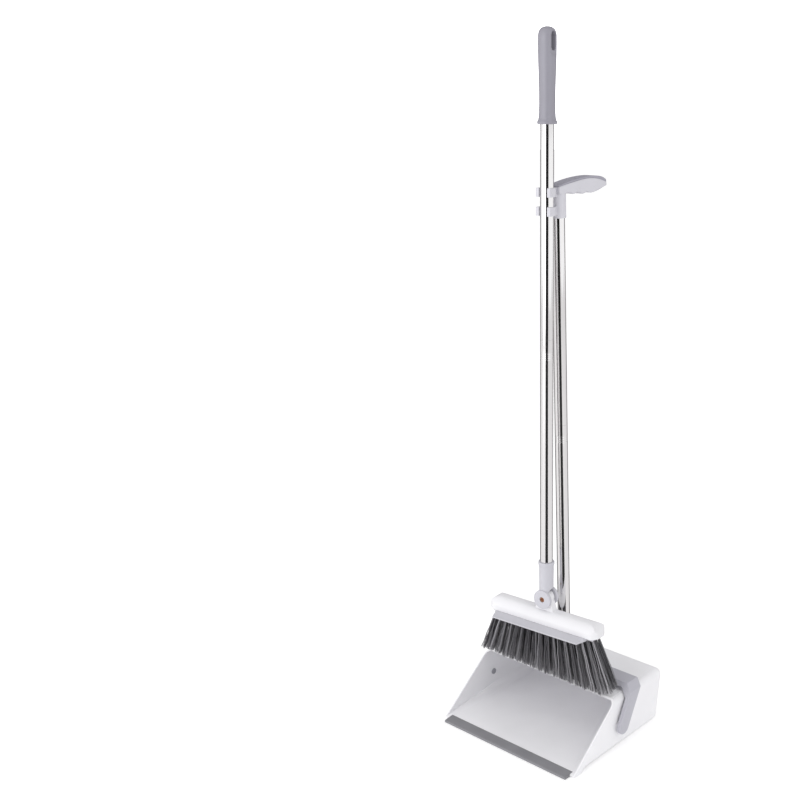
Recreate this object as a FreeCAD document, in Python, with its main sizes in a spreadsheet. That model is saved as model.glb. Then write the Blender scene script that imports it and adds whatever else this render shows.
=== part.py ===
import FreeCAD, Part
import math
import os
import Sketcher

# Dust pan and upright brush set, in millimetres.
# Origin on the floor under the pan. +X runs across the pan, the mouth faces -Y and +Z is up.

Vector = FreeCAD.Vector
Rotation = FreeCAD.Rotation

SIZES = {
    # tubes
    "tube_radius": 11.0, "tube_wall": 0.8, "tube_gap": 0.1, "ring_depth": 0.35, "ring_width": 1.7,
    # broom
    "broom_y": -18.1, "broom_yaw": 4.35, "grip_base": 1044.7, "grip_top": 1189.0, "broom_split": 703.3,
    "socket_rim": 311.4, "socket_floor": 266.0, "hinge_height": 243.3, "ear_radius": 17.0, "ear_outer": 14.0,
    "ear_inner": 8.2, "hinge_hole": 2.6, "hinge_shank": 2.5, "lug_half": 6.8, "lug_radius": 13.0,
    # broom head, measured from the hinge axis
    "cap_half": 114.6, "cap_depth": 20.5, "cap_base": -43.5, "cap_top": -21.5, "block_half": 105.5,
    "block_depth": 14.5, "block_base": -48.3, "flap_reach": 40.3, "tuft_root": 2.6, "tuft_tip": 3.7,
    "tuft_end": -138.0, "tuft_row": 8.0, "root_half": 101.0, "tip_half": 138.0,
    # pan
    "pan_half": 147.5, "pan_wall": 2.6, "pan_height": 93.6, "pan_back": 136.3, "pan_back_foot": 122.5,
    "lip_front": -138.3, "lip_back": -117.1, "lip_half": 138.0, "pivot_y": 2.0, "pivot_z": 40.0,
    "pin_radius": 4.0, "pin_hole": 4.08, "boss_radius": 10.0, "boss_face": 149.6,
    # bail and pan handle
    "bail_out": 158.0, "bail_in": 150.8, "bail_half": 13.5, "bail_rake": 61.5, "bar_top": 109.5,
    "bar_base": 101.3, "tower_radius": 13.6, "foot_y": 34.46, "foot_z": 104.0, "lean": 1.765,
    "pan_split": 446.2, "column_radius": 13.2, "column_base": 794.8, "arm_half": 13.0,
    "jaw_radius": 14.4, "jaw_bore": 11.3, "jaw_slot": 8.6, "jaw_reach": 10.5,
}

TUFTS_PER_ROW = 18

document = FreeCAD.newDocument("dust_pan_set")
sheet = document.addObject("Spreadsheet::Sheet", "dims")
for line, (alias, value) in enumerate(SIZES.items(), start=1):
    sheet.set(f"A{line}", alias)
    sheet.set(f"B{line}", str(value))
    sheet.setAlias(f"B{line}", alias)
document.recompute()


class Size:
    """A length together with the spreadsheet formula that gives it."""

    def __init__(self, value, text):
        self.value = value
        self.text = text

    def _with(self, other, sign, result):
        text = other.text if isinstance(other, Size) else f"{other}"
        return Size(result, f"({self.text} {sign} {text})")

    def __add__(self, other):
        return self._with(other, "+", self.value + number(other))

    def __sub__(self, other):
        return self._with(other, "-", self.value - number(other))

    def __mul__(self, other):
        return self._with(other, "*", self.value * number(other))

    def __neg__(self):
        return Size(-self.value, f"(-1 * {self.text})")


def number(size):
    """The plain value of a Size or a number."""
    return size.value if isinstance(size, Size) else float(size)


def dim(alias):
    """A named size of the spreadsheet."""
    return Size(SIZES[alias], f"dims.{alias}")


def bind(item, prop, size):
    """Sets a property and ties it to the spreadsheet when the size comes from there."""
    setattr(item, prop, number(size))
    if isinstance(size, Size):
        item.setExpression(prop, size.text)


def new_body(label):
    body = document.addObject("PartDesign::Body", label)
    body.Label = label
    return body


def sketch_on(body, role):
    """A sketch on one of the body's own origin planes."""
    plane = next(item for item in body.Origin.OriginFeatures if item.Role == role)
    sketch = body.newObject("Sketcher::SketchObject", "outline")
    sketch.AttachmentSupport = (plane, [""])
    sketch.MapMode = "FlatFace"
    return sketch


def pin_point(sketch, geometry, position, point):
    """Fixes a sketch point at a pair of sizes."""
    for kind, size in zip(("DistanceX", "DistanceY"), point):
        index = sketch.addConstraint(Sketcher.Constraint(kind, -1, 1, geometry, position, number(size)))
        if isinstance(size, Size):
            sketch.setExpression(f"Constraints[{index}]", size.text)


def polygon(sketch, corners):
    """Adds one closed outline of straight sides."""
    flat = [Vector(number(u), number(v), 0) for u, v in corners]
    first = sketch.GeometryCount
    for start, end in zip(flat, flat[1:] + flat[:1]):
        sketch.addGeometry(Part.LineSegment(start, end))
    for step, corner in enumerate(corners):
        following = first + (step + 1) % len(corners)
        sketch.addConstraint(Sketcher.Constraint("Coincident", first + step, 2, following, 1))
        pin_point(sketch, first + step, 1, corner)


def circle(sketch, centre, radius):
    """Adds one circle."""
    middle = Vector(number(centre[0]), number(centre[1]), 0)
    geometry = sketch.addGeometry(Part.Circle(middle, Vector(0, 0, 1), number(radius)))
    index = sketch.addConstraint(Sketcher.Constraint("Radius", geometry, number(radius)))
    if isinstance(radius, Size):
        sketch.setExpression(f"Constraints[{index}]", radius.text)
    pin_point(sketch, geometry, 3, centre)


def curved_outline(sketch, runs):
    """Adds one closed outline from runs of points: two points are a line and more are a smooth curve."""
    made = []
    for run in runs:
        points = [Vector(number(u), number(v), 0) for u, v in run]
        if len(points) == 2:
            made.append(sketch.addGeometry(Part.LineSegment(*points)))
        else:
            curve = Part.BSplineCurve()
            curve.interpolate(points)
            made.append(sketch.addGeometry(curve))
    for here, following in zip(made, made[1:] + made[:1]):
        sketch.addConstraint(Sketcher.Constraint("Coincident", here, 2, following, 1))


def sweep(body, sketch, length, kind="Pad"):
    """Pads or pockets a sketch evenly to both sides."""
    feature = body.newObject(f"PartDesign::{kind}", kind.lower())
    feature.Profile = sketch
    feature.SideType = "Symmetric"
    bind(feature, "Length", length)
    document.recompute()
    return feature


def turn(body, sketch, kind="Revolution", axis="V_Axis"):
    """Revolves or grooves a sketch about one of its axes."""
    feature = body.newObject(f"PartDesign::{kind}", kind.lower())
    feature.Profile = sketch
    feature.ReferenceAxis = (sketch, [axis])
    feature.Angle = 360
    document.recompute()
    return feature


def edge_names(feature, test):
    """Names of the edges whose bounding box passes the test."""
    return [f"Edge{n}" for n, edge in enumerate(feature.Shape.Edges, start=1) if test(edge.BoundBox)]


def ease(body, feature, radius, test, kind="Fillet"):
    """Rounds or chamfers the edges that pass the test."""
    names = edge_names(feature, test)
    if not names:
        raise ValueError(f"{body.Label}: no edge to ease by {radius}")
    result = body.newObject(f"PartDesign::{kind}", kind.lower())
    result.Base = (feature, names)
    if kind == "Fillet":
        result.Radius = radius
    else:
        result.Size = radius
    document.recompute()
    return result


def near(value, target, slack=0.3):
    return abs(value - target) < slack


def flat_at(low, high, target, slack=0.3):
    """True when both ends of an extent lie on one plane."""
    return near(low, target, slack) and near(high, target, slack)


def cylinder(radius, height, base=(0, 0, 0), direction=(0, 0, 1)):
    item = document.addObject("Part::Cylinder", "cylinder")
    bind(item, "Radius", radius)
    bind(item, "Height", height)
    item.Placement = FreeCAD.Placement(Vector(*map(number, base)), Rotation(Vector(0, 0, 1), Vector(*direction)))
    return item


def box(low, high):
    item = document.addObject("Part::Box", "box")
    for prop, start, end in zip(("Length", "Width", "Height"), low, high):
        setattr(item, prop, number(end) - number(start))
    item.Placement.Base = Vector(*map(number, low))
    return item


def fuse(*shapes):
    item = document.addObject("Part::MultiFuse", "fusion")
    item.Shapes = list(shapes)
    item.Refine = True
    return item


def cut(base, *tools):
    item = document.addObject("Part::Cut", "cut")
    item.Base = base
    item.Tool = tools[0] if len(tools) == 1 else fuse(*tools)
    item.Refine = True
    return item


def group(*shapes):
    """Separate solids of one kind kept together."""
    item = document.addObject("Part::Compound", "group")
    item.Links = list(shapes)
    return item


def mirrored(source):
    item = document.addObject("Part::Mirroring", "mirror")
    item.Source = source
    item.Normal = Vector(1, 0, 0)
    return item


# ---------------------------------------------------------------- frames of the sub-assemblies

def in_pan(item, label):
    item.Label = label
    return item


def in_handle(item, label):
    """The pan handle leans forward on the bail, with its own Z up the tube."""
    item.Label = label
    item.Placement = HANDLE
    item.setExpression("Placement.Base.y", "dims.foot_y")
    item.setExpression("Placement.Base.z", "dims.foot_z")
    return item


def in_broom(item, label):
    """The broom stands upright in the clip and is turned a little about its own tube."""
    item.Label = label
    item.Placement = BROOM
    item.setExpression("Placement.Base.y", "dims.broom_y")
    return item


def in_head(item, label):
    """The broom head's sizes are measured from the hinge."""
    item.Label = label
    item.Placement = HEAD
    item.setExpression("Placement.Base.y", "dims.broom_y")
    item.setExpression("Placement.Base.z", "dims.hinge_height")
    return item


HANDLE = FreeCAD.Placement(Vector(0, SIZES["foot_y"], SIZES["foot_z"]), Rotation(Vector(1, 0, 0), SIZES["lean"]))
BROOM = FreeCAD.Placement(Vector(0, SIZES["broom_y"], 0), Rotation(Vector(0, 0, 1), SIZES["broom_yaw"]))
HEAD = FreeCAD.Placement(Vector(0, SIZES["broom_y"], SIZES["hinge_height"]), BROOM.Rotation)

tube_radius, tube_wall = dim("tube_radius"), dim("tube_wall")
tube_bore = tube_radius - tube_wall
socket_bore = tube_radius + 0.05
insert_radius = tube_bore - 0.05


# ---------------------------------------------------------------- pan

def build_pan_body():
    half, wall, height = dim("pan_half"), dim("pan_wall"), dim("pan_height")
    back, foot = dim("pan_back"), dim("pan_back_foot")
    body = new_body("pan_shell")
    side = sketch_on(body, "YZ_Plane")
    polygon(side, [(-124.5, 0), (-112, 0), (-104, 3.6), (84, 0), (foot, 0), (back, height), (-9.7, height),
                   (-121.5, 6.2), (-126.5, 3.4)])
    shell = sweep(body, side, half * 2)
    boss = sketch_on(body, "YZ_Plane")
    circle(boss, (dim("pivot_y"), dim("pivot_z")), dim("boss_radius"))
    shell = sweep(body, boss, dim("boss_face") * 2)
    shell = ease(body, shell, 12, lambda b: b.YMin > 110 and b.ZLength > 60 and near(abs(b.XMin), 147.5))
    shell = ease(body, shell, 11, lambda b: flat_at(b.ZMin, b.ZMax, number(height)) and b.YMax > 0)
    shell = ease(body, shell, 8, lambda b: flat_at(b.ZMin, b.ZMax, 0) and b.YMin > 105)
    hollow = new_body("pan_hollow")
    inside = sketch_on(hollow, "YZ_Plane")
    polygon(inside, [(-150, 5.0), (-117, 5.0), (-93, 7.4), (foot - 2.4, wall), (back - wall, height - wall),
                     (-150, height - wall)])
    room = sweep(hollow, inside, (half - wall) * 2)
    room = ease(hollow, room, 18.5, lambda b: b.YMin > 108 and b.ZLength > 60)
    room = ease(hollow, room, 8.4, lambda b: flat_at(b.ZMin, b.ZMax, 91.0, 0.1) and b.YMax > -100)
    ease(hollow, room, 17, lambda b: b.ZMax < 8 and b.ZMin > 2 and (b.YLength > 150 or b.YMin > 95))
    front = new_body("pan_front")
    tongue = sketch_on(front, "YZ_Plane")
    polygon(tongue, [(-150, -3), (-117, -3), (-117, 1.3), (-125, 1.3), (-125, 3.1), (-117, 3.1), (-117, 20),
                     (-150, 20)])
    sweep(front, tongue, (dim("lip_half") + 0.3) * 2)
    hole = cylinder(dim("pin_hole"), 320, (-160, dim("pivot_y"), dim("pivot_z")), (1, 0, 0))
    return in_pan(cut(body, hollow, front, hole), "pan_body")


def build_rubber_lip():
    front, back = dim("lip_front"), dim("lip_back")
    body = new_body("rubber_lip")
    side = sketch_on(body, "YZ_Plane")
    polygon(side, [(front + 0.4, 0), (back, 0), (back, 1.25), (-125.1, 1.25), (-125.1, 3.15), (back, 3.15),
                   (back, 5.0), (back - 1.5, 5.4), (front + 3.5, 4.3), (front + 1.0, 3.7), (front, 1.2)])
    sweep(body, side, dim("lip_half") * 2)
    return in_pan(body, "rubber_lip")


# ---------------------------------------------------------------- bail and pan handle

def build_bail():
    out, inside, half = dim("bail_out"), dim("bail_in"), number(dim("bail_half"))
    rake = math.radians(SIZES["bail_rake"])
    py, pz = SIZES["pivot_y"], SIZES["pivot_z"]
    top = dim("bar_top")
    low_front = (py - half * math.sin(rake), pz + half * math.cos(rake))
    low_back = (py + half * math.sin(rake), pz - half * math.cos(rake))
    run = 1 / math.tan(rake)
    body = new_body("bail_strap")
    eye = sketch_on(body, "YZ_Plane")
    circle(eye, (dim("pivot_y"), dim("pivot_z")), dim("bail_half"))
    sweep(body, eye, out * 2)
    band = sketch_on(body, "YZ_Plane")
    polygon(band, [low_front, low_back, (low_back[0] + (number(top) - low_back[1]) * run, top),
                   (low_front[0] + (number(top) - low_front[1]) * run, top)])
    strap = sweep(body, band, out * 2)
    window = sketch_on(body, "XZ_Plane")
    polygon(window, [(-inside, -5), (inside, -5), (inside, 88), (137.5, dim("bar_base")), (-137.5, dim("bar_base")),
                     (-inside, 88)])
    strap = sweep(body, window, 300, "Pocket")
    corners = sketch_on(body, "XZ_Plane")
    for side in (1, -1):
        polygon(corners, [(side * 159.0, 96.4), (side * 145.2, 110.2), (side * 145.2, 125), (side * 170, 125),
                          (side * 170, 96.4)])
    strap = sweep(body, corners, 300, "Pocket")
    strap = ease(body, strap, 1.2, lambda b: flat_at(b.ZMin, b.ZMax, number(top))
                 or b.XMin > 157.5 or b.XMax < -157.5)
    bores = sketch_on(body, "YZ_Plane")
    circle(bores, (dim("pivot_y"), dim("pivot_z")), dim("pin_radius"))
    sweep(body, bores, 2 * 155.0, "Pocket")
    tower = cylinder(dim("tower_radius"), 54)
    tower.Placement = HANDLE.multiply(FreeCAD.Placement(Vector(0, 0, -6.5), Rotation()))
    web = new_body("bail_web")
    plate = sketch_on(web, "XZ_Plane")
    polygon(plate, [(-42, 106), (42, 106), (13, 142), (-13, 142)])
    sweep(web, plate, 5)
    web.Placement = FreeCAD.Placement(Vector(0, 37, 0), Rotation())
    pads = [box((x - 7, 32, 94.1), (x + 7, 46, 103)) for x in (-75, 75)]
    bore = cylinder(socket_bore, 80)
    bore.Placement = HANDLE
    screw = cylinder(1.9, 20)
    screw.Placement = HANDLE.multiply(FreeCAD.Placement(Vector(0, 8, 28), Rotation(Vector(1, 0, 0), -90)))
    return in_pan(cut(fuse(body, tower, web, *pads), bore, screw), "bail")


def build_pivot_pins():
    face = number(dim("pan_half") - dim("pan_wall")) - 0.3
    body = new_body("pivot_pin")
    half = sketch_on(body, "XY_Plane")
    radius = dim("pin_radius")
    polygon(half, [(face - 2.2, 0), (155.0, 0), (155.0, radius), (face, radius), (face, 5.6), (face - 1.4, 5.4),
                   (face - 2.2, 4.6)])
    pin = turn(body, half, axis="H_Axis")
    drive = sketch_on(body, "YZ_Plane")
    circle(drive, (0, 0), 2.4)
    sweep(body, drive, (face - 1.2) * 2, "Pocket")
    body.Placement = FreeCAD.Placement(Vector(0, SIZES["pivot_y"], SIZES["pivot_z"]), Rotation())
    return in_pan(group(body, mirrored(body)), "pivot_pins")


def build_pivot_washers():
    base = (number(dim("boss_face")) + 0.3, SIZES["pivot_y"], SIZES["pivot_z"])
    ring = cut(cylinder(8.5, 0.85, base, (1, 0, 0)), cylinder(4.02, 0.85, base, (1, 0, 0)))
    return in_pan(group(ring, mirrored(ring)), "pivot_washers")


def ringed_tube(label, start, end, rings_at, place):
    """A thin tube with four rolled rings below the joint."""
    body = new_body(label)
    wall = sketch_on(body, "XZ_Plane")
    polygon(wall, [(tube_bore, start), (tube_radius, start), (tube_radius, end), (tube_bore, end)])
    turn(body, wall)
    rings = sketch_on(body, "XZ_Plane")
    depth, width = dim("ring_depth"), number(dim("ring_width"))
    for step in range(4):
        z = rings_at + 3.4 * step
        polygon(rings, [(tube_radius - depth, z + 0.4), (tube_radius + 1, z - 0.5),
                        (tube_radius + 1, z + width + 0.5), (tube_radius - depth, z + width - 0.4)])
    turn(body, rings, "Groove")
    return place(body, label)


def plain_tube(label, start, end, place):
    body = new_body(label)
    wall = sketch_on(body, "XZ_Plane")
    polygon(wall, [(tube_bore, start), (tube_radius, start), (tube_radius, end), (tube_bore, end)])
    turn(body, wall)
    return place(body, label)


def coupler_stud(label, joint, place):
    """The plug in the lower tube's top, with its coarse threaded stud."""
    body = new_body(label)
    half = sketch_on(body, "XZ_Plane")
    outline = [(0, joint - 36), (insert_radius, joint - 36), (insert_radius, joint - 0.6), (6.2, joint - 0.6)]
    for step in range(5):
        z = number(joint) + 2.0 + 4.0 * step
        outline += [(6.2, z), (7.4, z + 1.0), (7.4, z + 1.9), (6.2, z + 2.9)]
    polygon(half, outline + [(6.2, joint + 23), (0, joint + 23)])
    turn(body, half)
    return place(body, label)


def coupler_nut(label, joint, place):
    """The sleeve in the upper tube's end that the stud screws into."""
    body = new_body(label)
    half = sketch_on(body, "XZ_Plane")
    polygon(half, [(7.6, joint + 0.3), (insert_radius, joint + 0.3), (insert_radius, joint + 30), (0, joint + 30),
                   (0, joint + 26), (7.6, joint + 26)])
    turn(body, half)
    return place(body, label)


def build_arm():
    """The arm below the seam, drawn in the handle's side view."""
    body = new_body("arm_lower")
    side = sketch_on(body, "YZ_Plane")
    seam = [(-11.5, 844.6), (6.2, 847.3), (29.9, 849.9), (53.8, 852.0), (68.6, 852.2), (84.9, 850.6), (97.6, 847.9),
            (108.2, 844.4), (117.8, 841.2)]
    nose = [(117.8, 841.2), (120.0, 839.6), (118.2, 837.7), (113.0, 835.6)]
    bumps = [(113.0, 835.6), (99.6, 831.9), (86.0, 829.0), (80.0, 828.4), (74.4, 828.0), (69.0, 829.2), (64.7, 830.6),
             (59.0, 829.6), (52.0, 828.4), (45.8, 830.4), (40.4, 832.6), (34.6, 831.4), (28.0, 830.3), (22.0, 832.4),
             (17.0, 834.4)]
    curved_outline(side, [seam, nose[:2], nose[1:3], nose[2:], bumps, [(17.0, 834.4), (-11.5, 834.4)],
                          [(-11.5, 834.4), (-11.5, 844.6)]])
    arm = sweep(body, side, dim("arm_half") * 2)
    ease(body, arm, 3.5, lambda b: b.ZMax < 835.7 and b.YMin > 12 and near(b.XMin, b.XMax))
    round_nose(body, dim("arm_half"))
    return body


def round_nose(body, half):
    """Rounds the arm's nose as seen from above."""
    plan = sketch_on(body, "XY_Plane")
    radius, tip = 9.0, 120.0
    for mark in (1, -1):
        arc = [(mark * (number(half) - radius + radius * math.cos(math.radians(turn_by))),
                tip - radius + radius * math.sin(math.radians(turn_by))) for turn_by in range(0, 91, 15)]
        low, high = (mark * (number(half) + 5), tip - radius), (arc[-1][0], tip + 10)
        far = (low[0], high[1])
        curved_outline(plan, [arc, [arc[-1], high], [high, far], [far, low], [low, arc[0]]])
    sweep(body, plan, 1760, "Pocket")


def build_pan_grip():
    column = cylinder(dim("column_radius"), 844.2 - SIZES["column_base"], (0, 0, dim("column_base")))
    column.Placement = HANDLE.multiply(column.Placement)
    arm = build_arm()
    arm.Placement = HANDLE
    bore = cylinder(socket_bore, 49, (0, 0, 790))
    bore.Placement = HANDLE.multiply(bore.Placement)
    broom_y = number(dim("broom_y"))
    jaws = []
    for low, high in ((903.6, 917.6), (933.2, 947.3)):
        jaws.append(cylinder(dim("jaw_radius"), high - low, (0, broom_y, low)))
        reach = number(dim("jaw_radius"))
        jaws.append(box((-reach, broom_y - SIZES["jaw_reach"], low), (reach, broom_y, high)))
        jaws.append(box((-7, broom_y, low), (7, broom_y + 22, high)))
    web = box((-3, broom_y + 11.5, 903.6), (3, broom_y + 22, 947.3))
    tube_way = cylinder(dim("jaw_bore"), 80, (0, broom_y, 885))
    slot = box((-SIZES["jaw_slot"], broom_y - 30, 885), (SIZES["jaw_slot"], broom_y, 965))
    crop = box((-30, broom_y - 30, 885), (30, broom_y - SIZES["jaw_reach"], 965))
    return in_pan(cut(fuse(column, arm, web, *jaws), bore, tube_way, slot, crop), "pan_grip")


def build_grip_cap():
    body = new_body("grip_cap")
    side = sketch_on(body, "YZ_Plane")
    seam = [(118.0, 841.5), (108.3, 844.7), (97.7, 848.2), (84.9, 850.9), (68.6, 852.5), (53.8, 852.3), (29.9, 850.2),
            (6.2, 847.6), (-11.5, 844.9)]
    crown = [(-11.5, 846.4), (0.0, 848.7), (10.0, 850.5), (22.9, 852.4), (44.0, 854.4), (58.4, 855.2), (70.5, 855.4),
             (92.3, 854.3), (104.0, 851.9), (112.0, 848.3), (118.0, 842.3)]
    curved_outline(side, [seam, [(-11.5, 844.9), (-11.5, 846.4)], crown, [(118.0, 842.3), (118.0, 841.5)]])
    cap = sweep(body, side, (dim("arm_half") - 0.5) * 2)
    ease(body, cap, 1.4, lambda b: b.ZMax > 854.8 and b.YLength > 100 and near(b.XMin, b.XMax))
    round_nose(body, dim("arm_half") - 0.5)
    return in_handle(body, "grip_cap")


def build_bail_screw():
    """The self-tapping screw through the tower's back into the tube."""
    head, shank = cylinder(3.6, 2.2, (0, 13.75, 28), (0, 1, 0)), cylinder(1.8, 4.6, (0, 9.2, 28), (0, 1, 0))
    return in_handle(fuse(head, shank), "bail_screw")


# ---------------------------------------------------------------- broom stick

def build_broom_grip():
    """The hand grip, with an oblong hanging hole that runs through it along X."""
    base, top = dim("grip_base"), dim("grip_top")
    body = new_body("broom_grip")
    half = sketch_on(body, "XZ_Plane")
    lower = [(15.0, base), (15.8, base + 1.0), (15.8, base + 4.0), (14.7, base + 5.6)]
    waist = [(14.7, base + 5.6), (13.7, base + 9.5), (13.05, base + 17), (12.75, base + 31), (12.95, base + 52),
             (13.6, base + 76), (14.3, base + 98), (14.6, base + 118), (14.5, base + 129)]
    dome = [(14.5, base + 129), (13.7, base + 135.5), (11.0, base + 140.6), (6.2, base + 143.5), (0, top)]
    curved_outline(half, [[(0, base), lower[0]], lower[:2], lower[1:3], lower[2:], waist, dome, [(0, top), (0, base)]])
    grip = turn(body, half)
    bore = sketch_on(body, "XZ_Plane")
    polygon(bore, [(0, base - 5), (socket_bore, base - 5), (socket_bore, base + 92), (0, base + 95)])
    grip = turn(body, bore, "Groove")
    facets = sketch_on(body, "XZ_Plane")
    for side in (1, -1):
        polygon(facets, [(side * 15.2, base + 99), (side * 12.0, base + 105), (side * 12.0, base + 160),
                         (side * 25, base + 160), (side * 25, base + 99)])
    sweep(body, facets, 60, "Pocket")
    hole = sketch_on(body, "YZ_Plane")
    low, high, half = number(base) + 114.6, number(base) + 131.6, 5.6
    caps = [hole.addGeometry(Part.ArcOfCircle(Part.Circle(Vector(0, z, 0), Vector(0, 0, 1), half), a, a + math.pi))
            for z, a in ((high, 0), (low, math.pi))]
    left = hole.addGeometry(Part.LineSegment(Vector(-half, high, 0), Vector(-half, low, 0)))
    right = hole.addGeometry(Part.LineSegment(Vector(half, low, 0), Vector(half, high, 0)))
    for here, following in zip((caps[0], left, caps[1], right), (left, caps[1], right, caps[0])):
        hole.addConstraint(Sketcher.Constraint("Coincident", here, 2, following, 1))
    slot = sweep(body, hole, 60, "Pocket")
    ease(body, slot, 1.2, lambda b: near(abs(b.XMin), 12.0, 0.2) and near(b.XMin, b.XMax, 0.2) and
         b.ZMin > 1150 and b.ZMax < 1184 and b.YLength < 11.5)
    return in_broom(body, "broom_grip")


def build_broom_socket():
    rim, floor, height = dim("socket_rim"), dim("socket_floor"), dim("hinge_height")
    barrel = new_body("socket_barrel")
    half = sketch_on(barrel, "XZ_Plane")
    polygon(half, [(0, height + 4), (12.3, height + 4), (12.8, 300), (12.9, 304.5), (13.9, rim - 4.6),
                   (13.9, rim - 0.6), (13.4, rim), (0, rim)])
    turn(barrel, half)
    outer = number(dim("ear_outer"))
    ears = cylinder(dim("ear_radius"), 2 * outer, (0, outer, height), (0, -1, 0))
    gap = number(dim("ear_inner"))
    slot, arch = box((-30, -gap, 200), (30, gap, 254.6)), cylinder(gap, 60, (-30, 0, 254.6), (1, 0, 0))
    bore = cylinder(socket_bore, 60, (0, 0, floor))
    hole = cylinder(dim("hinge_hole"), 60, (0, 30, height), (0, -1, 0))
    head_seat = cylinder(4.8, 20, (0, -outer + 3.6, height), (0, -1, 0))
    nut_seat = cylinder(4.7, 20, (0, outer - 3.6, height), (0, 1, 0))
    shape = cut(fuse(barrel, ears), slot, arch, bore, hole, head_seat, nut_seat)
    return in_broom(shape, "broom_socket")


def build_hinge_screw():
    outer = number(dim("ear_outer"))
    head = cylinder(4.3, 2.2, (0, -outer + 3.55, 0), (0, -1, 0))
    shank = cylinder(dim("hinge_shank"), 2 * outer - 4.8, (0, -outer + 3.55, 0), (0, 1, 0))
    drive = [box((-a, -outer - 2, -b), (a, -outer + 2.6, b)) for a, b in ((2.7, 0.55), (0.55, 2.7))]
    return in_head(cut(fuse(head, shank), *drive), "hinge_screw")


def build_hinge_nut():
    outer = number(dim("ear_outer"))
    prism = document.addObject("Part::Prism", "prism")
    prism.Polygon = 6
    prism.Circumradius = 4.6
    prism.Height = 3.2
    prism.Placement = FreeCAD.Placement(Vector(0, outer - 3.55, 0), Rotation(Vector(0, 0, 1), Vector(0, 1, 0)))
    return in_head(cut(prism, cylinder(dim("hinge_shank"), 5, (0, outer - 4.5, 0), (0, 1, 0))), "hinge_nut")


def build_hinge_washers():
    low = number(dim("lug_half")) + 0.3
    rings = [cut(cylinder(11.0, 1.0, (0, side * low, 0), (0, side, 0)),
                 cylinder(dim("hinge_hole"), 1.0, (0, side * low, 0), (0, side, 0))) for side in (1, -1)]
    return in_head(group(*rings), "hinge_washers")


# ---------------------------------------------------------------- broom head

def build_head_cap():
    half, depth, base, top = dim("cap_half"), dim("cap_depth"), dim("cap_base"), dim("cap_top")
    body = new_body("head_cap")
    side = sketch_on(body, "YZ_Plane")
    wall = number(depth)
    shoulder = [(wall, -36.5), (wall - 1.2, -32.9), (wall - 3.4, -29.3), (wall - 6.7, -25.6), (wall - 10.4, -22.9),
                (wall - 14.6, number(top)), (0.0, number(top) + 0.3)]
    crown = shoulder + [(-y, z) for y, z in reversed(shoulder[:-1])]
    curved_outline(side, [[(-wall, base), (wall, base)], [(wall, base), crown[0]], crown, [crown[-1], (-wall, base)]])
    cap = sweep(body, side, half * 2)
    ends, plan = sketch_on(body, "XZ_Plane"), sketch_on(body, "XY_Plane")
    end, radius = number(half), 16.5
    for mark in (1, -1):
        brow = [(mark * (end + reach), z) for reach, z in ((0, -37.0), (-1.2, -32.4), (-4.2, -27.8), (-8.6, -24.3),
                                                           (-14.5, -22.0), (-21.0, -21.1))]
        far, over = (mark * (end + 10), -37.0), (mark * (end + 10), -15.0)
        back = (brow[-1][0], -15.0)
        curved_outline(ends, [brow, [brow[-1], back], [back, over], [over, far], [far, brow[0]]])
        for side_mark in (1, -1):
            arc = [(mark * (end - radius + radius * math.cos(math.radians(step))),
                    side_mark * (wall - radius + radius * math.sin(math.radians(step)))) for step in range(0, 91, 15)]
            low, high = (mark * (end + 9), arc[0][1]), (arc[-1][0], side_mark * (wall + 9))
            corner = (low[0], high[1])
            curved_outline(plan, [arc, [arc[-1], high], [high, corner], [corner, low], [low, arc[0]]])
    sweep(body, ends, 80, "Pocket")
    cap = sweep(body, plan, 140, "Pocket")
    lug = sketch_on(body, "XZ_Plane")
    circle(lug, (0, 0), dim("lug_radius"))
    cap = sweep(body, lug, dim("lug_half") * 2)
    root = sketch_on(body, "XZ_Plane")
    polygon(root, [(-19, top - 1), (19, top - 1), (12.6, -3), (-12.6, -3)])
    cap = sweep(body, root, dim("lug_half") * 2)
    hole = sketch_on(body, "XZ_Plane")
    circle(hole, (0, 0), dim("hinge_hole"))
    cap = sweep(body, hole, 40, "Pocket")
    recess = sketch_on(body, "XZ_Plane")
    polygon(recess, [(-(dim("block_half") + 0.1), base - 2), (dim("block_half") + 0.1, base - 2),
                     (dim("block_half") + 0.1, base + 6.2), (-(dim("block_half") + 0.1), base + 6.2)])
    sweep(body, recess, (dim("block_depth") + 0.1) * 2, "Pocket")
    return in_head(body, "head_cap")


def tuft_places():
    """Root and tip of every tuft in one row, fanned along the head."""
    for index in range(TUFTS_PER_ROW):
        share = 2 * index / (TUFTS_PER_ROW - 1) - 1
        yield share * SIZES["root_half"], share * SIZES["tip_half"]


def tuft_direction(root_x, tip_x):
    rise = number(dim("block_base")) - SIZES["tuft_end"]
    return Vector(tip_x - root_x, 0, -rise)


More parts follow.
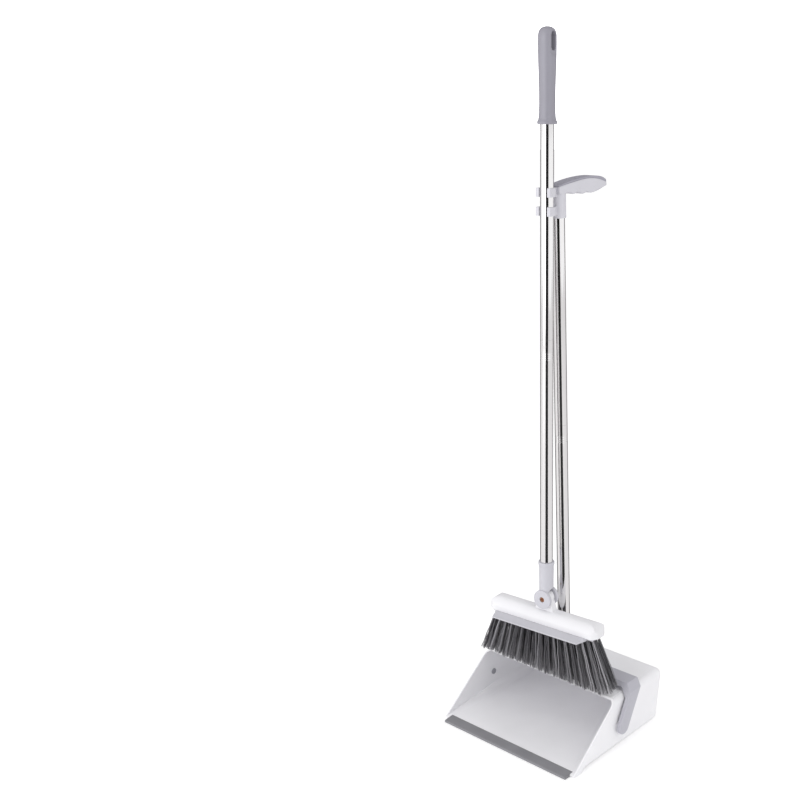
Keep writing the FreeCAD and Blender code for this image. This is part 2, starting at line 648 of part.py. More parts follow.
def build_tuft_block():
    half, depth, base = dim("block_half"), dim("block_depth"), dim("block_base")
    body = new_body("block_blank")
    side = sketch_on(body, "YZ_Plane")
    polygon(side, [(-depth, base), (depth, base), (depth, dim("cap_base") + 6.1), (-depth, dim("cap_base") + 6.1)])
    sweep(body, side, half * 2)
    flap = sketch_on(body, "YZ_Plane")
    reach = dim("flap_reach")
    polygon(flap, [(-depth + 0.5, base), (-depth + 0.5, -43.7), (-20, -43.7), (-reach, -46.2), (-reach, base)])
    sweep(body, flap, 190)
    mitre = sketch_on(body, "XY_Plane")
    for mark in (1, -1):
        polygon(mitre, [(mark * 95.1, -14.6), (mark * 95.1, -20), (mark * 89, -reach), (mark * 89, -60),
                        (mark * 120, -60), (mark * 120, -14.6)])
    block = sweep(body, mitre, 140, "Pocket")
    ease(body, block, 0.8, lambda b: flat_at(b.YMin, b.YMax, -40.3, 0.1) and b.XLength > 100)
    cutters = []
    for row in (-1, 0, 1):
        for root_x, tip_x in tuft_places():
            way = tuft_direction(root_x, tip_x)
            start = Vector(root_x, row * SIZES["tuft_row"], number(base)) - way * 0.06
            cutters.append(cylinder(dim("tuft_root"), 6.5, tuple(start), tuple(way)))
    return in_head(cut(body, *cutters), "tuft_block")


def build_tufts(label, row):
    """One row of separate tufts, each a slim cone that spreads toward its tip."""
    tufts = []
    for root_x, tip_x in tuft_places():
        way = tuft_direction(root_x, tip_x)
        cone = document.addObject("Part::Cone", "tuft")
        bind(cone, "Radius1", dim("tuft_root"))
        bind(cone, "Radius2", dim("tuft_tip"))
        cone.Height = way.Length * 1.055
        start = Vector(root_x, row * SIZES["tuft_row"], SIZES["block_base"]) - way * 0.055
        cone.Placement = FreeCAD.Placement(start, Rotation(Vector(0, 0, 1), way))
        tufts.append(cone)
    return in_head(group(*tufts), label)


def build_block_screws():
    screws = []
    for x in (-93.2, -34.9, 34.9, 93.2):
        for y in (-4.0, 4.0):
            head = cylinder(1.6, 1.4, (x, y, SIZES["block_base"] + 0.1))
            screws.append(fuse(head, cylinder(0.9, 15, (x, y, SIZES["block_base"] + 1.4))))
    return in_head(group(*screws), "block_screws")


# ---------------------------------------------------------------- assembly

broom_split, pan_split = dim("broom_split"), dim("pan_split")
half_gap = dim("tube_gap") * 0.5

PARTS = [
    build_pan_body(), build_rubber_lip(),
    build_bail(), build_pivot_pins(), build_pivot_washers(), build_bail_screw(),
    ringed_tube("pan_lower_tube", 0.2, pan_split - half_gap, 414.5, in_handle),
    plain_tube("pan_upper_tube", pan_split + half_gap, 838.0, in_handle),
    coupler_stud("pan_coupler_stud", pan_split, in_handle),
    coupler_nut("pan_coupler_nut", pan_split, in_handle),
    build_pan_grip(), build_grip_cap(),
    build_broom_grip(), build_broom_socket(),
    plain_tube("broom_upper_tube", broom_split + half_gap, 1136.0, in_broom),
    ringed_tube("broom_lower_tube", dim("socket_floor") + 0.2, broom_split - half_gap, 670.0, in_broom),
    coupler_stud("broom_coupler_stud", broom_split, in_broom),
    coupler_nut("broom_coupler_nut", broom_split, in_broom),
    build_hinge_screw(), build_hinge_nut(), build_hinge_washers(),
    build_head_cap(), build_tuft_block(),
    build_block_screws(),
    build_tufts("bristles_front", -1), build_tufts("bristles_middle", 0), build_tufts("bristles_rear", 1),
]

document.recompute()
for item in document.Objects:
    if "Invalid" in item.State or "Error" in item.State:
        raise RuntimeError(f"{item.Label} did not build: {item.State}")

os.makedirs("parts", exist_ok=True)
for part in PARTS:
    if part.Shape.isNull() or not part.Shape.isValid() or not part.Shape.Solids:
        raise RuntimeError(f"{part.Label} is not a valid solid")
    part.Shape.exportStep(f"parts/{part.Label}.step")
    extent = part.Shape.BoundBox
    print(f"{part.Label}: {len(part.Shape.Solids)} solids, {part.Shape.Volume:.0f} mm3, "
          f"x {extent.XMin:.1f}..{extent.XMax:.1f}, y {extent.YMin:.1f}..{extent.YMax:.1f}, "
          f"z {extent.ZMin:.1f}..{extent.ZMax:.1f}")
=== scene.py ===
import sys
import logging
import math
import random
from dataclasses import dataclass
from enum import Enum
from typing import Iterable, Sequence

import bmesh
import bpy
from mathutils import Matrix, Vector


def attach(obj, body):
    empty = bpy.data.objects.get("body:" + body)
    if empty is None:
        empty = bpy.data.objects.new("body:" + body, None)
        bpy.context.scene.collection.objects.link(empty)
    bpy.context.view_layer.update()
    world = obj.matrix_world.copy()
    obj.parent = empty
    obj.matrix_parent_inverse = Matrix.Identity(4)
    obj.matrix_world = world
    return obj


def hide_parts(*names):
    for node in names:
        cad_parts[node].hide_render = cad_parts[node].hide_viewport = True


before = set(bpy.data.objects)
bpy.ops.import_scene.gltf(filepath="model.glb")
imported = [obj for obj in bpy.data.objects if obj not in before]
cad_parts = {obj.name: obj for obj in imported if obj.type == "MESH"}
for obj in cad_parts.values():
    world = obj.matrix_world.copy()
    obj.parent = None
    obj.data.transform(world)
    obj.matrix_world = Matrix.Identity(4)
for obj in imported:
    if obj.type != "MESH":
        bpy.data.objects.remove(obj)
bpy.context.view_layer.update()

log = logging.getLogger("dust_pan_set")

MM = 0.001
Point = tuple[float, float]


class Body(Enum):
    """The moving bodies of the set."""

    PAN = "pan"
    HANDLE = "handle"
    BROOM = "broom"
    HEAD = "broom_head"


# ---------------------------------------------------------------- finishes

class NodeBench:
    """Lays out the shader nodes of one material."""

    def __init__(self, name: str) -> None:
        """Starts an empty material with a Principled shader.

        Args:
            name: The material's name.
        """
        self.material = bpy.data.materials.new(name)
        self.material.use_nodes = True
        self.tree = self.material.node_tree
        self.shader = self.tree.nodes["Principled BSDF"]
        self.coords = self.tree.nodes.new("ShaderNodeTexCoord").outputs["Object"]

    def add(self, kind: str, **settings: object) -> bpy.types.Node:
        """Adds a node and sets its properties.

        Args:
            kind: The node's type name.
            **settings: Property names and their values.

        Returns:
            The new node.
        """
        node = self.tree.nodes.new(kind)
        for name, value in settings.items():
            setattr(node, name, value)
        return node

    def link(self, start: bpy.types.NodeSocket, end: bpy.types.NodeSocket) -> None:
        """Joins two sockets."""
        self.tree.links.new(start, end)

    def noise(self, scale: float, detail: float = 2.0,
              stretch: Sequence[float] = (1, 1, 1)) -> bpy.types.NodeSocket:
        """Adds a noise pattern on object coordinates.

        Args:
            scale: Cells for each metre.
            detail: How many finer octaves are added.
            stretch: How much each axis is compressed before the pattern is read.

        Returns:
            The pattern's value socket.
        """
        mapping = self.add("ShaderNodeMapping")
        mapping.inputs["Scale"].default_value = tuple(stretch)
        pattern = self.add("ShaderNodeTexNoise")
        pattern.inputs["Scale"].default_value = scale
        pattern.inputs["Detail"].default_value = detail
        self.link(self.coords, mapping.inputs["Vector"])
        self.link(mapping.outputs["Vector"], pattern.inputs["Vector"])
        return pattern.outputs["Fac"]

    def spread(self, value: bpy.types.NodeSocket, low: float, high: float,
               floor: float = 0.3, ceiling: float = 0.7) -> bpy.types.NodeSocket:
        """Maps a pattern's middle range onto two values.

        Args:
            value: The pattern.
            low: The result where the pattern is at its floor.
            high: The result where the pattern is at its ceiling.
            floor: The lower end of the range that is read.
            ceiling: The upper end of the range that is read.

        Returns:
            The mapped value's socket.
        """
        node = self.add("ShaderNodeMapRange")
        for name, number in (("From Min", floor), ("From Max", ceiling), ("To Min", low), ("To Max", high)):
            node.inputs[name].default_value = number
        self.link(value, node.inputs["Value"])
        return node.outputs["Result"]

    def blend(self, share: bpy.types.NodeSocket, first: Sequence[float],
              second: Sequence[float]) -> bpy.types.NodeSocket:
        """Mixes two colours.

        Args:
            share: How much of the second colour shows.
            first: The first linear colour.
            second: The second linear colour.

        Returns:
            The mixed colour's socket.
        """
        node = self.add("ShaderNodeMix", data_type="RGBA")
        node.inputs[6].default_value = (*first, 1)
        node.inputs[7].default_value = (*second, 1)
        self.link(share, node.inputs[0])
        return node.outputs[2]

    def bump(self, height: bpy.types.NodeSocket, depth: float, strength: float = 1.0) -> None:
        """Raises the surface by a pattern.

        Args:
            height: The pattern.
            depth: The height of the relief in metres.
            strength: How much of it shows.
        """
        node = self.add("ShaderNodeBump")
        node.inputs["Strength"].default_value = strength
        node.inputs["Distance"].default_value = depth
        self.link(height, node.inputs["Height"])
        self.link(node.outputs["Normal"], self.shader.inputs["Normal"])


def shade(colour: Sequence[float], factor: float) -> tuple[float, ...]:
    """Scales a colour's brightness."""
    return tuple(min(1.0, channel * factor) for channel in colour)


@dataclass(frozen=True)
class Plastic:
    """A moulded plastic with the fine texture of its mould."""

    name: str
    colour: tuple[float, float, float]
    roughness: float = 0.42
    grain: float = 2600.0
    relief: float = 0.00003
    coat: float = 0.0

    def material(self) -> bpy.types.Material:
        """Builds the shader and returns its material."""
        bench = NodeBench(self.name)
        tone = bench.spread(bench.noise(14.0, 3.0), 0.0, 1.0)
        bench.link(bench.blend(tone, shade(self.colour, 0.975), shade(self.colour, 1.02)),
                   bench.shader.inputs["Base Color"])
        bench.link(bench.spread(bench.noise(55.0, 4.0), self.roughness - 0.05, self.roughness + 0.06),
                   bench.shader.inputs["Roughness"])
        bench.shader.inputs["IOR"].default_value = 1.49
        bench.shader.inputs["Coat Weight"].default_value = self.coat
        bench.shader.inputs["Coat Roughness"].default_value = 0.12
        bench.bump(bench.noise(self.grain, 2.0), self.relief)
        return bench.material


@dataclass(frozen=True)
class PolishedSteel:
    """Bright drawn tube, with faint lines along its length."""

    name: str
    colour: tuple[float, float, float] = (0.87, 0.86, 0.865)
    roughness: float = 0.07

    def material(self) -> bpy.types.Material:
        """Builds the shader and returns its material."""
        bench = NodeBench(self.name)
        bench.shader.inputs["Metallic"].default_value = 1.0
        drawn = bench.noise(900.0, 3.0, (1, 1, 0.004))
        bench.link(bench.spread(bench.noise(9.0, 3.0), self.roughness - 0.015, self.roughness + 0.03),
                   bench.shader.inputs["Roughness"])
        bench.link(bench.blend(drawn, shade(self.colour, 0.96), self.colour),
                   bench.shader.inputs["Base Color"])
        bench.bump(drawn, 0.000004, 0.4)
        return bench.material


@dataclass(frozen=True)
class Metal:
    """Plated or turned small metal hardware."""

    name: str
    colour: tuple[float, float, float]
    roughness: float = 0.28

    def material(self) -> bpy.types.Material:
        """Builds the shader and returns its material."""
        bench = NodeBench(self.name)
        bench.shader.inputs["Metallic"].default_value = 1.0
        wear = bench.noise(420.0, 4.0)
        bench.link(bench.blend(bench.spread(wear, 0.0, 1.0), shade(self.colour, 0.7), self.colour),
                   bench.shader.inputs["Base Color"])
        bench.link(bench.spread(bench.noise(240.0, 3.0), self.roughness - 0.08, self.roughness + 0.14),
                   bench.shader.inputs["Roughness"])
        bench.bump(wear, 0.00002, 0.5)
        return bench.material


@dataclass(frozen=True)
class Rubber:
    """Soft extruded rubber with fine lines along the strip."""

    name: str
    colour: tuple[float, float, float]

    def material(self) -> bpy.types.Material:
        """Builds the shader and returns its material."""
        bench = NodeBench(self.name)
        drawn = bench.noise(700.0, 3.0, (0.02, 1, 1))
        bench.link(bench.blend(bench.spread(bench.noise(30.0, 4.0), 0.0, 1.0), shade(self.colour, 0.92),
                               shade(self.colour, 1.06)), bench.shader.inputs["Base Color"])
        bench.link(bench.spread(bench.noise(120.0, 3.0), 0.55, 0.72), bench.shader.inputs["Roughness"])
        bench.bump(drawn, 0.00005, 0.6)
        return bench.material


@dataclass(frozen=True)
class Fibre:
    """Crimped bristle fibre, dark and light strands mixed; the light strands, clumped in locks, are painted
    highlights on the tuft fronts.
    """

    name: str
    dark: tuple[float, float, float]
    light: tuple[float, float, float]

    def material(self) -> bpy.types.Material:
        """Builds the shader and returns its material."""
        bench = NodeBench(self.name)
        strand = bench.add("ShaderNodeAttribute", attribute_name=BristleRow.SHADE)
        bench.link(bench.blend(strand.outputs["Fac"], self.dark, self.light),
                   bench.shader.inputs["Base Color"])
        bench.link(bench.spread(bench.noise(160.0, 2.0), 0.34, 0.5), bench.shader.inputs["Roughness"])
        bench.bump(bench.noise(3200.0, 1.0), 0.00002, 0.5)
        return bench.material


class Finishes:
    """Every material of the set, made once."""

    def __init__(self) -> None:
        """Builds the materials."""
        fine = {"grain": 2200.0, "relief": 0.000012, "coat": 0.1}
        self.white = Plastic("white_moulding", (0.845, 0.84, 0.865), 0.40, **fine).material()
        self.cover_white = Plastic("head_cover_moulding", (0.775, 0.77, 0.795), 0.42, **fine).material()
        self.bail = Plastic("bail_grey_moulding", (0.455, 0.45, 0.50), 0.46).material()
        self.pale = Plastic("pale_grey_moulding", (0.59, 0.583, 0.63), 0.44).material()
        self.cover = Plastic("arm_cover_moulding", (0.345, 0.337, 0.395), 0.42).material()
        self.grip = Plastic("broom_grip_moulding", (0.275, 0.268, 0.31), 0.34, 2300.0, 0.00004).material()
        self.socket = Plastic("socket_moulding", (0.53, 0.525, 0.57), 0.44).material()
        self.flap = Plastic("flap_moulding", (0.54, 0.535, 0.575), 0.45, relief=0.00002).material()
        self.hidden = Plastic("coupler_moulding", (0.05, 0.05, 0.055), 0.55).material()
        self.pin = Plastic("pivot_moulding", (0.30, 0.30, 0.33), 0.32).material()
        self.rubber = Rubber("lip_rubber", (0.23, 0.228, 0.245)).material()
        self.steel = PolishedSteel("polished_tube").material()
        self.copper = Metal("copper_plating", (0.42, 0.20, 0.11), 0.34).material()
        self.zinc = Metal("zinc_plating", (0.62, 0.62, 0.64), 0.34).material()
        # The light fibre colour paints the highlights on the tuft fronts; the dark one is the strands' own
        # colour.
        self.fibre = Fibre("bristle_fibre", (0.022, 0.020, 0.026), (0.50, 0.49, 0.52)).material()


# ---------------------------------------------------------------- shaping

def lathe(profile: Iterable[Point], place: Matrix, steps: int = 96) -> bmesh.types.BMesh:
    """Turns a half profile about the local Z axis.

    Args:
        profile: Radius and height of each point of a closed outline, in millimetres.
        place: Where the turned shape stands.
        steps: Number of facets round the axis.

    Returns:
        The turned shape.
    """
    shape = bmesh.new()
    corners = [shape.verts.new((radius * MM, 0, height * MM)) for radius, height in profile]
    ring = [shape.edges.new(pair) for pair in zip(corners, corners[1:] + corners[:1])]
    bmesh.ops.spin(shape, geom=corners + ring, cent=(0, 0, 0), axis=(0, 0, 1), angle=2 * math.pi,
                   steps=steps, use_merge=True)
    bmesh.ops.remove_doubles(shape, verts=shape.verts, dist=1e-7)
    bmesh.ops.recalc_face_normals(shape, faces=shape.faces)
    bmesh.ops.transform(shape, matrix=place, verts=shape.verts)
    return shape


def round_edges(shape: bmesh.types.BMesh, width: float, segments: int, angle: float) -> None:
    """Rounds the sharp edges of a shape.

    Args:
        shape: The shape to work on.
        width: The rounding's size in millimetres.
        segments: Number of facets across the rounding.
        angle: How sharp an edge has to be, in degrees.
    """
    limit = math.radians(angle)
    sharp = [edge for edge in shape.edges if len(edge.link_faces) == 2 and edge.calc_face_angle(0) > limit]
    bmesh.ops.bevel(shape, geom=sharp, offset=width * MM, offset_type="OFFSET", segments=segments,
                    profile=0.5, affect="EDGES", material=-1, clamp_overlap=True)


def softened(node: str, width: float, segments: int = 2, angle: float = 40.0) -> bmesh.types.BMesh:
    """Copies a CAD node's shape, joins its loose triangles and rounds its sharp edges.

    Args:
        node: The CAD node.
        width: The rounding's size in millimetres.
        segments: Number of facets across the rounding.
        angle: How sharp an edge has to be, in degrees.

    Returns:
        The rounded shape.
    """
    shape = bmesh.new()
    shape.from_mesh(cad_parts[node].data)
    bmesh.ops.remove_doubles(shape, verts=shape.verts, dist=2e-6)
    bmesh.ops.dissolve_limit(shape, angle_limit=math.radians(0.4), verts=shape.verts, edges=shape.edges)
    round_edges(shape, width, segments, angle)
    return shape


def piece(name: str, shape: bmesh.types.BMesh, material: bpy.types.Material, body: Body,
          replaced: Sequence[str] = (), smooth: float = 32.0) -> bpy.types.Object:
    """Makes a finished piece from a shape and parents it to its body's empty.

    Args:
        name: The piece's name.
        shape: The shape, which is freed.
        material: The piece's material.
        body: The body that it rides on.
        replaced: CAD nodes that it stands for.
        smooth: Edges sharper than this many degrees stay crisp.

    Returns:
        The new object.
    """
    mesh = bpy.data.meshes.new(name)
    shape.to_mesh(mesh)
    shape.free()
    mesh.materials.clear()
    mesh.materials.append(material)
    mesh.shade_smooth()
    mesh.set_sharp_from_angle(angle=math.radians(smooth))
    item = bpy.data.objects.new(name, mesh)
    bpy.context.scene.collection.objects.link(item)
    even = item.modifiers.new("even_shading", "WEIGHTED_NORMAL")
    even.keep_sharp = True
    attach(item, body.value)
    if replaced:
        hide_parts(*replaced)
    log.info("%s: %d faces on %s", name, len(mesh.polygons), body.value)
    return item


def dress(node: str, material: bpy.types.Material) -> None:
    """Gives a carried-over CAD node its material."""
    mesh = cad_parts[node].data
    mesh.materials.clear()
    mesh.materials.append(material)
    log.info("%s: dressed in %s", node, material.name)


BAIL_PIVOT_Y, BAIL_PIVOT_Z, BACK_LEAN = 34.46, 104.0, 1.765
BROOM_Y, HINGE_Z, BROOM_YAW = -18.1, 243.3, 4.35

HANDLE_LEAN = (Matrix.Translation((0, BAIL_PIVOT_Y * MM, BAIL_PIVOT_Z * MM)) @
               Matrix.Rotation(math.radians(BACK_LEAN), 4, "X"))
BROOM_TURN = Matrix.Translation((0, BROOM_Y * MM, 0)) @ Matrix.Rotation(math.radians(BROOM_YAW), 4, "Z")
HEAD_TURN = (Matrix.Translation((0, BROOM_Y * MM, HINGE_Z * MM)) @
             Matrix.Rotation(math.radians(BROOM_YAW), 4, "Z"))


@dataclass
class Tube:
    """One length of thin polished tube, with rolled rings if it has them."""

    LIP = 0.3
    LIP_MIDDLE = 0.09
    RING_COUNT = 4
    RING_PITCH = 3.4
    RING_WIDTH = 2.2
    RING_DEPTH = 0.8
    GROOVE = ((0.0, 0.0), (0.15, 0.12), (0.35, 0.4), (0.5, 0.5), (0.65, 0.4), (0.85, 0.12), (1.0, 0.0))

    name: str
    node: str
    start: float
    end: float
    place: Matrix
    body: Body
    rings_at: float | None = None
    radius: float = 11.0
    bore: float = 10.2

    def profile(self) -> list[Point]:
        """Returns the closed half profile: up the outside and down the bore."""
        outside = [(self.radius - self.LIP, self.start),
                   (self.radius - self.LIP_MIDDLE, self.start + self.LIP_MIDDLE),
                   (self.radius, self.start + self.LIP)]
        if self.rings_at is not None:
            for step in range(self.RING_COUNT):
                low = self.rings_at + self.RING_PITCH * step
                for share, sink in self.GROOVE:
                    outside.append((self.radius - sink * self.RING_DEPTH, low + share * self.RING_WIDTH))
        outside += [(self.radius, self.end - self.LIP),
                    (self.radius - self.LIP_MIDDLE, self.end - self.LIP_MIDDLE),
                    (self.radius - self.LIP, self.end)]
        return outside + [(self.bore, self.end), (self.bore, self.start)]

    def build(self, finishes: Finishes) -> None:
        """Makes the tube."""
        shape = lathe(self.profile(), self.place)
        piece(self.name, shape, finishes.steel, self.body, (self.node,))


# ---------------------------------------------------------------- pan

@dataclass
class Pan:
    """The white pan with its rubber lip."""

    finishes: Finishes
    edge: float = 0.7

    def build(self) -> None:
        """Makes the pan's pieces."""
        piece("pan_moulding", softened("pan_body", self.edge), self.finishes.white, Body.PAN,
              ("pan_body",))
        piece("lip_strip", softened("rubber_lip", 0.35), self.finishes.rubber, Body.PAN,
              ("rubber_lip",))


@dataclass
class PanHandle:
    """The bail, its pins, the leaning tube and the L-shaped grip."""

    finishes: Finishes

    def build(self) -> None:
        """Makes the handle's pieces."""
        piece("bail_strap", softened("bail", 0.6), self.finishes.bail, Body.HANDLE,
              ("bail",))
        piece("clip_grip", softened("pan_grip", 0.5), self.finishes.pale, Body.HANDLE,
              ("pan_grip",))
        piece("arm_cover", softened("grip_cap", 0.5), self.finishes.cover, Body.HANDLE,
              ("grip_cap",))
        Tube("pan_tube_lower", "pan_lower_tube", 0.2, 446.15, HANDLE_LEAN, Body.HANDLE,
             414.5).build(self.finishes)
        Tube("pan_tube_upper", "pan_upper_tube", 446.25, 838.0, HANDLE_LEAN, Body.HANDLE).build(self.finishes)
        for node in ("pivot_pins", "pivot_washers"):
            dress(node, self.finishes.pin)
        for node in ("pan_coupler_stud", "pan_coupler_nut"):
            dress(node, self.finishes.hidden)
        dress("bail_screw", self.finishes.zinc)


@dataclass
class BroomStick:
    """The grip, the two tubes and the socket with its hinge screw."""

    finishes: Finishes

    def build(self) -> None:
        """Makes the stick's pieces."""
        piece("hand_grip", softened("broom_grip", 0.3), self.finishes.grip, Body.BROOM,
              ("broom_grip",))
        piece("head_socket", softened("broom_socket", 0.5), self.finishes.socket, Body.BROOM,
              ("broom_socket",))
        Tube("broom_tube_upper", "broom_upper_tube", 703.35, 1136.0, BROOM_TURN,
             Body.BROOM).build(self.finishes)
        Tube("broom_tube_lower", "broom_lower_tube", 266.2, 703.25, BROOM_TURN, Body.BROOM,
             670.0).build(self.finishes)
        dress("hinge_screw", self.finishes.copper)
        dress("hinge_nut", self.finishes.zinc)
        dress("hinge_washers", self.finishes.pin)
        for node in ("broom_coupler_stud", "broom_coupler_nut"):
            dress(node, self.finishes.hidden)


@dataclass
class BristleRow:
    """One row of crimped bristle tufts, fanned along the head."""

    SHADE = "fibre_tone_and_highlight"
    GOLDEN_TURN = 2.39996
    ROW_START = -138.0
    TIP_LIMITS = (-142.0, 147.0)

    name: str
    node: str
    offset: float
    seed: int
    tip_height: float
    slant: float
    tufts: int = 18
    locks: int = 11
    strands: int = 8
    root_half: float = 101.0
    tip_half: float = 134.0
    root_height: float = -46.0
    root_radius: float = 2.45
    flare_along: float = 7.4
    flare_across: float = 3.4
    thickness: float = 0.3
    rings: int = 9

    def template(self) -> bpy.types.Mesh:
        """Makes one straight strand of unit length and unit radius.

        Returns:
            A square rod along Z in even steps, with closed ends.
        """
        rod = bmesh.new()
        bmesh.ops.create_circle(rod, cap_ends=True, segments=4, radius=1.0)
        face = rod.faces[:][0]
        for _ in range(self.rings - 1):
            grown = bmesh.ops.extrude_face_region(rod, geom=[face])["geom"]
            face = next(item for item in grown if isinstance(item, bmesh.types.BMFace))
            bmesh.ops.translate(rod, verts=face.verts, vec=(0, 0, 1 / (self.rings - 1)))
        bmesh.ops.recalc_face_normals(rod, faces=rod.faces)
        mesh = bpy.data.meshes.new("strand_template")
        rod.to_mesh(mesh)
        rod.free()
        return mesh

    def tip_level(self, x: float) -> float:
        """Gives the height of the trimmed tips at a place along the row, in millimetres."""
        return self.tip_height - self.slant * (x - self.ROW_START) + 0.5 * max(0.0, x - 120.0)

    def build(self, finishes: Finishes) -> None:
        """Plants every tuft of the row."""
        chance = random.Random(self.seed)
        strand = self.template()
        shape = bmesh.new()
        tone = shape.verts.layers.float.new(self.SHADE)
        for index in range(self.tufts):
            share = 2 * index / (self.tufts - 1) - 1
            self.plant(shape, tone, strand, share, chance)
        bpy.data.meshes.remove(strand)
        bmesh.ops.transform(shape, matrix=HEAD_TURN, verts=shape.verts)
        piece(self.name, shape, finishes.fibre, Body.HEAD, (self.node,), 60.0)

    def plant(self, shape: bmesh.types.BMesh, tone: bmesh.types.BMLayerItem, strand: bpy.types.Mesh,
              share: float, chance: random.Random) -> None:
        """Adds one tuft, made of small locks of strands that wave together.

        Args:
            shape: The row's shape.
            tone: The layer that holds each strand's shade.
            strand: The unit strand.
            share: The tuft's place along the row, from -1 to 1.
            chance: The row's own random numbers.
        """
        tuft_tone, tuft_length = chance.uniform(0.06, 0.26), chance.uniform(0.0, 1.8)
        lean, turn = chance.uniform(-1.2, 1.2), chance.uniform(0, 2 * math.pi)
        for lock in range(self.locks):
            reach = math.sqrt((lock + 0.5) / self.locks)
            angle = turn + lock * self.GOLDEN_TURN
            across, along = reach * math.sin(angle), reach * math.cos(angle)
            stray = 1.0 if chance.random() < 0.88 else 1.5
            heart_x = share * self.tip_half + max(0.0, share) * 4.0 + lean + along * self.flare_along * stray
            heart_x += chance.gauss(0, 0.6)
            heart_y = self.offset * 1.02 + across * self.flare_across + chance.gauss(0, 0.3)
            heart = Vector((heart_x, heart_y, 0))
            shorter = tuft_length + abs(chance.gauss(0, 1.2)) + 1.2 * reach ** 2
            # Each lock shares one tone: a random tone for each tuft, with about one lock in six made lighter
            # to paint a highlight streak on the tuft front.
            lock_tone_and_highlight = tuft_tone + chance.gauss(0, 0.15) + (0.34 if chance.random() < 0.18 else 0.0)
            wave = (chance.uniform(0, 2 * math.pi), chance.uniform(2.0, 3.2) * 2 * math.pi,
                    chance.uniform(0.35, 0.8))
            for count in range(self.strands):
                spin, width = count * self.GOLDEN_TURN, math.sqrt((count + 0.5) / self.strands)
                root_x = share * self.root_half + along * self.root_radius * 0.8 + 0.5 * width * math.cos(spin)
                root_y = self.offset + across * self.root_radius * 0.8 + 0.5 * width * math.sin(spin)
                root = Vector((root_x, root_y, self.root_height))
                tip = heart + Vector((1.5 * width * math.cos(spin), 1.0 * width * math.sin(spin), 0))
                tip.x = max(self.TIP_LIMITS[0], min(self.TIP_LIMITS[1], tip.x))
                tip.z = self.tip_level(tip.x) + shorter + abs(chance.gauss(0, 0.8))
                value = min(0.9, max(0.0, lock_tone_and_highlight + chance.gauss(0, 0.14)))
                self.bend(shape, tone, strand, (root, tip), wave, value)

    def bend(self, shape: bmesh.types.BMesh, tone: bmesh.types.BMLayerItem, strand: bpy.types.Mesh,
             ends: tuple[Vector, Vector], wave: tuple[float, float, float], value: float) -> None:
        """Adds one strand and crimps it.

        Args:
            shape: The row's shape.
            tone: The layer that holds each strand's shade.
            strand: The unit strand.
            ends: Where it leaves the block and where it ends.
            wave: The crimp's phase, turns and swing.
            value: The strand's shade, from 0 to 1.
        """
        start = len(shape.verts)
        shape.from_mesh(strand)
        shape.verts.ensure_lookup_table()
        phase, turns, swing = wave
        for vert in shape.verts[start:]:
            rise = vert.co.z
            middle = ends[0].lerp(ends[1], rise)
            middle.x += swing * math.sin(phase + turns * rise) * rise ** 0.5
            middle.y += swing * 0.6 * math.cos(phase + turns * rise) * rise ** 0.5
            slim = self.thickness * (1.0 - 0.3 * rise ** 3)
            vert.co = (middle + Vector((vert.co.x * slim, vert.co.y * slim, 0))) * MM
            vert[tone] = min(1.0, value + 0.22 * rise ** 4)


@dataclass
class BroomHead:
    """The white cover, the block with its flap and the three bristle rows."""

    finishes: Finishes

    def build(self) -> None:
        """Makes the head's pieces."""
        piece("head_cover", softened("head_cap", 0.8), self.finishes.cover_white, Body.HEAD,
              ("head_cap",))
        piece("block_and_flap", softened("tuft_block", 0.25), self.finishes.flap, Body.HEAD,
              ("tuft_block",))
        dress("block_screws", self.finishes.zinc)
        rows = (("front_bristles", "bristles_front", -8.0, -136.6, 0.051),
                ("middle_bristles", "bristles_middle", 0.0, -138.0, 0.033),
                ("rear_bristles", "bristles_rear", 8.0, -138.5, 0.014))
        for seed, (name, node, offset, tip_height, slant) in enumerate(rows, start=11):
            BristleRow(name, node, offset, seed, tip_height, slant).build(self.finishes)


# ---------------------------------------------------------------- studio

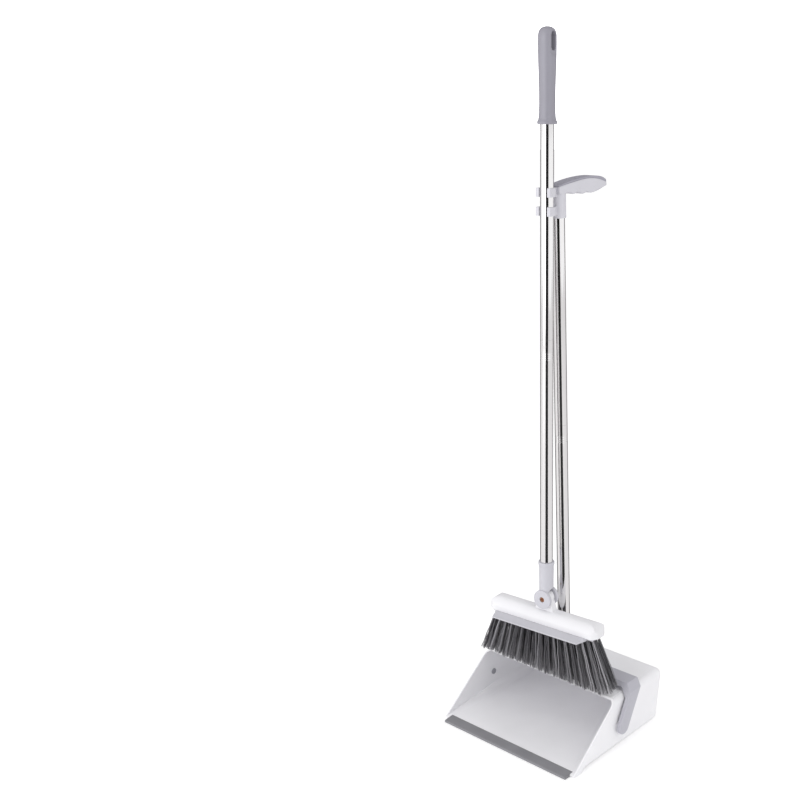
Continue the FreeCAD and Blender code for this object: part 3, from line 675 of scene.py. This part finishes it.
class Studio:
    """A plain pale floor, soft light and the camera."""

    CAMERA_YAW = math.radians(39.564)
    QUARTER = math.radians(90)

    def build(self) -> None:
        """Sets up the camera, the floor and the lights."""
        self.camera()
        self.floor()
        self.sky()
        self.lamp("key_light", (2.1, -0.7, 2.2), 2.0, 5.0)
        self.lamp("fill_light", (-0.4, -2.6, 1.2), 2.4, 24.0)
        self.flags()
        bpy.context.scene.view_settings.view_transform = "Standard"

    def camera(self) -> None:
        """Places the camera."""
        lens = bpy.data.cameras.new("camera")
        lens.sensor_width = 36.0
        lens.lens = 49.5
        lens.shift_x = -0.1746
        lens.shift_y = 0.00375
        lens.clip_start = 0.02
        lens.dof.use_dof = False
        item = bpy.data.objects.new("camera", lens)
        item.location = (1.1144, -1.3852, 1.0801)
        item.rotation_euler = (math.radians(74.623), 0, self.CAMERA_YAW)
        bpy.context.scene.collection.objects.link(item)
        bpy.context.scene.camera = item

    def panel(self, name: str, width: float, height: float, place: Matrix, colour: Sequence[float],
              taper: float = 1.0, glow: float = 0.0) -> bpy.types.Object:
        """Makes a flat staged panel.

        Args:
            name: The panel's name.
            width: Its width in metres.
            height: Its height in metres.
            place: Where it lies.
            colour: Its linear colour.
            taper: Width of its upper edge as a share of the lower edge.
            glow: White light that it gives off by itself.

        Returns:
            The panel.
        """
        shape = bmesh.new()
        bmesh.ops.create_grid(shape, x_segments=1, y_segments=1, size=0.5)
        bmesh.ops.scale(shape, vec=(width, height, 1), verts=shape.verts)
        bmesh.ops.scale(shape, vec=(taper, 1, 1), verts=[vert for vert in shape.verts if vert.co.y > 0])
        bmesh.ops.transform(shape, matrix=place, verts=shape.verts)
        mesh = bpy.data.meshes.new(name)
        shape.to_mesh(mesh)
        shape.free()
        material = bpy.data.materials.new(name)
        material.use_nodes = True
        shader = material.node_tree.nodes["Principled BSDF"]
        shader.inputs["Base Color"].default_value = (*colour, 1)
        shader.inputs["Roughness"].default_value = 0.95
        shader.inputs["Emission Color"].default_value = (1, 1, 1, 1)
        shader.inputs["Emission Strength"].default_value = glow
        mesh.materials.append(material)
        item = bpy.data.objects.new(name, mesh)
        bpy.context.scene.collection.objects.link(item)
        return item

    def floor(self) -> None:
        """Lays the pale floor and hangs a white backdrop that only the camera sees."""
        self.panel("floor", 60, 60, Matrix.Translation((0, 0, -0.0003)), (0.97, 0.97, 0.97), glow=0.16)
        place = (Matrix.Rotation(self.CAMERA_YAW, 4, "Z") @ Matrix.Translation((0, 24, 10)) @
                 Matrix.Rotation(self.QUARTER, 4, "X"))
        backdrop = self.panel("backdrop", 60, 40, place, (1, 1, 1), glow=1.1)
        backdrop.visible_diffuse = backdrop.visible_glossy = backdrop.visible_shadow = False

    def flags(self) -> None:
        """Sets up the panels that only gloss can see, for the lines down the tubes."""
        turn = Matrix.Rotation(self.CAMERA_YAW, 4, "Z")
        upright = Matrix.Rotation(self.QUARTER, 4, "X")
        dark, grey, pale = (0.004, 0.004, 0.004), (0.17, 0.16, 0.165), (0.86, 0.85, 0.85)
        dark_place = turn @ Matrix.Translation((0.10, -3.0, 2.0)) @ upright
        dark_foot = turn @ Matrix.Translation((0.05, -1.62, 0.0008))
        grey_place = turn @ Matrix.Translation((0, 1.0, 1.9)) @ upright
        grey_foot = turn @ Matrix.Translation((0, 0.6, 0.0008))
        flags = [self.panel("dark_flag", 2.3, 4.0, dark_place, dark),
                 self.panel("dark_wedge", 2.3, 2.75, dark_foot, dark, 0.12),
                 self.panel("grey_flag", 3.2, 4.2, grey_place, grey),
                 self.panel("grey_wedge", 0.7, 0.8, grey_foot, grey, 4.5),
                 self.panel("pale_sheet", 8.0, 8.0, Matrix.Translation((0, 0, 0.0003)), pale)]
        for flag in flags:
            flag.visible_camera = flag.visible_diffuse = flag.visible_shadow = False
            flag.visible_transmission = False

    def sky(self) -> None:
        """Fills the room with even white light."""
        world = bpy.data.worlds.new("soft_room")
        world.use_nodes = True
        world.node_tree.nodes["Background"].inputs["Color"].default_value = (1, 1, 1, 1)
        world.node_tree.nodes["Background"].inputs["Strength"].default_value = 0.90
        bpy.context.scene.world = world

    def lamp(self, name: str, place: Sequence[float], size: float, power: float) -> None:
        """Hangs a soft square lamp that looks at the set.

        Args:
            name: The lamp's name.
            place: Where it hangs, in metres.
            size: Its side in metres.
            power: Its power in watts.
        """
        data = bpy.data.lights.new(name, "AREA")
        data.size = size
        data.energy = power
        item = bpy.data.objects.new(name, data)
        item.location = place
        item.rotation_euler = (Vector((0, 0, 0.35)) - Vector(place)).to_track_quat("-Z", "Y").to_euler()
        bpy.context.scene.collection.objects.link(item)


def main() -> None:
    logging.basicConfig(level=logging.INFO, format="%(name)s %(message)s", stream=sys.stdout)
    Studio().build()
    finishes = Finishes()
    for part in (Pan(finishes), PanHandle(finishes), BroomStick(finishes), BroomHead(finishes)):
        part.build()
    log.info("sizes written")


if __name__ == "__main__":
    main()
